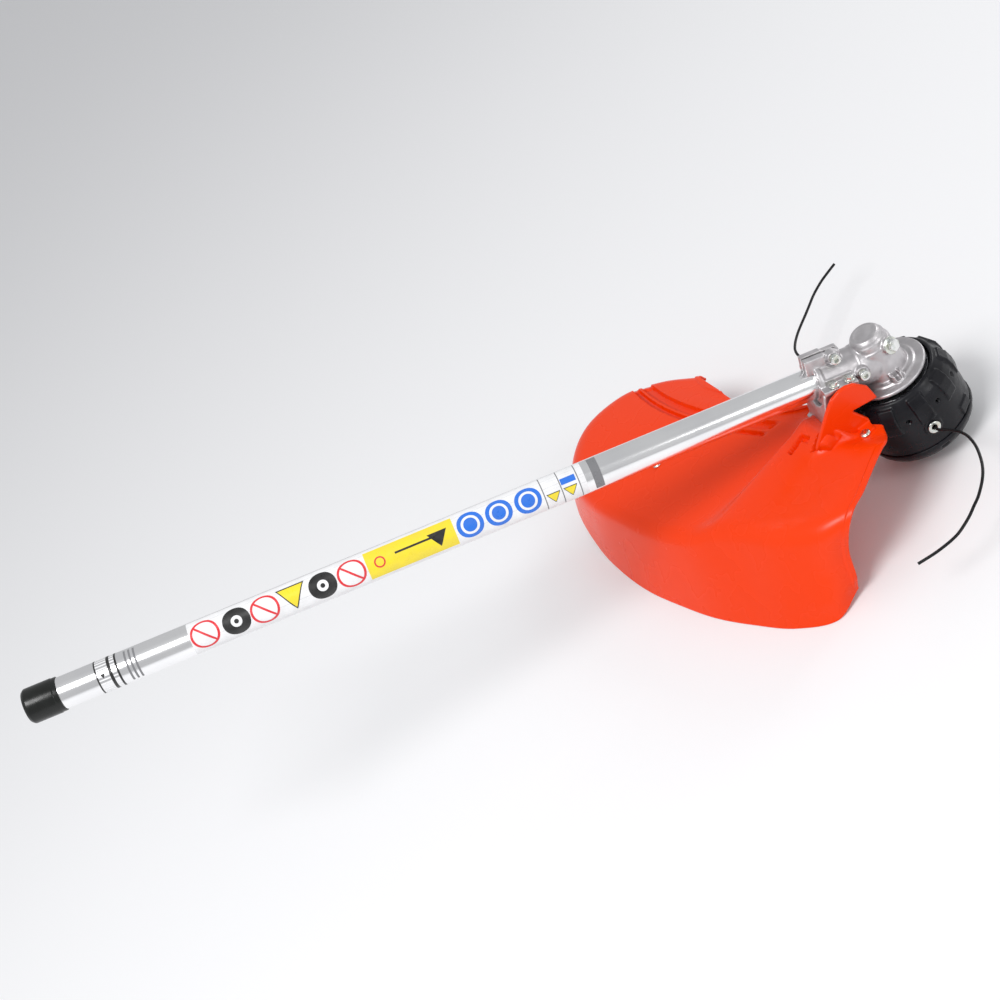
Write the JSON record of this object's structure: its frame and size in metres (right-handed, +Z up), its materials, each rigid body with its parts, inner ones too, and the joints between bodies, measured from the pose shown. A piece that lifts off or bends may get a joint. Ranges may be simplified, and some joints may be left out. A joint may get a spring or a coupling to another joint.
{
  "type": "brush cutter attachment",
  "caption": "Line-head attachment of a split-shaft brush cutter: bright tube, bevel gearcase, orange guard and bump-feed cutting head, standing on its knob and guard rim.",
  "frame": {"origin": "centre of the footprint, on the ground that the bump knob and the guard rim stand on", "axes": "+Z up along the output axis, +X towards the cutting head with the tube rising to -X, +Y to the left of a person at the tube's end"},
  "size_m": [0.718, 0.3978, 0.331],
  "materials": {
    "polished_aluminium": "bright drawn tube, fine lengthwise marks",
    "cast_aluminium": "satin die casting",
    "zinc_steel": "zinc plated",
    "dark_steel": "ground and oiled",
    "bearing_steel": "polished",
    "black_plastic": "satin moulded nylon",
    "black_rubber": "moulded",
    "orange_plastic": "glossy moulded polypropylene",
    "grey_nylon": "moulded",
    "line_nylon": "extruded monofilament"
  },
  "bodies": {
    "tool": {"main_tube": "polished_aluminium", "tube_end_cap": "black_plastic", "shaft_bush_1": "black_rubber", "shaft_bush_2": "black_rubber", "shaft_bush_3": "black_rubber", "shaft_bush_4": "black_rubber", "gearcase_housing": "cast_aluminium", "clamp_screw": "zinc_steel", "bearing_lock_screw": "zinc_steel", "grease_plug": "zinc_steel", "pinion_bearing_front": "bearing_steel", "pinion_bearing_rear": "bearing_steel", "pinion_snap_ring": "dark_steel", "output_bearing_upper": "bearing_steel", "output_bearing_lower": "bearing_steel", "output_oil_seal": "black_rubber", "guard_bracket": "cast_aluminium", "bracket_bolt_1": "zinc_steel", "bracket_bolt_2": "zinc_steel", "bracket_bolt_3": "zinc_steel", "bracket_bolt_4": "zinc_steel", "guard_bolt_1": "zinc_steel", "guard_bolt_2": "zinc_steel", "guard_bolt_3": "zinc_steel", "guard_bolt_4": "zinc_steel", "guard_screw": "zinc_steel", "knife_screw": "zinc_steel", "line_knife": "dark_steel", "guard_shell": "orange_plastic"},
    "drive": {"drive_shaft": "dark_steel", "input_pinion": "dark_steel"},
    "head": {"output_shaft": "dark_steel", "output_gear": "dark_steel", "adapter_plate": "zinc_steel", "head_housing": "black_plastic", "head_cover": "black_plastic", "eyelet_right": "zinc_steel", "eyelet_left": "zinc_steel", "arbor_nut": "zinc_steel", "bump_spring": "bearing_steel", "cutting_line_right": "line_nylon", "cutting_line_left": "line_nylon"},
    "knob": {"bump_knob": "black_plastic"},
    "spool": {"line_spool": "grey_nylon", "line_winding": "line_nylon"}
  },
  "joints": [
    {"name": "head_spin", "type": "hinge", "parent": "tool", "child": "head", "pos_m": [0.31303, -0.06431, 0.095], "axis": [0, 0, 1], "continuous": true, "deforming": ["cutting_line_right", "cutting_line_left"]},
    {"name": "drive_spin", "type": "hinge", "parent": "tool", "child": "drive", "pos_m": [0.31303, -0.06431, 0.095], "axis": [0.9483, 0, -0.3173], "continuous": true},
    {"name": "bump", "type": "slide", "parent": "head", "child": "knob", "axis": [0, 0, 1], "range_m": [0, 0.005], "stiffness_N_per_m": 1000, "springref_m": -0.02, "deforming": ["bump_spring"]},
    {"name": "spool_feed", "type": "hinge", "parent": "knob", "child": "spool", "pos_m": [0.31303, -0.06431, 0.043], "axis": [0, 0, 1], "continuous": true}
  ],
  "couplings": [
    {"joint": "drive_spin", "follows": "head_spin", "ratio": -1.3333}
  ]
}
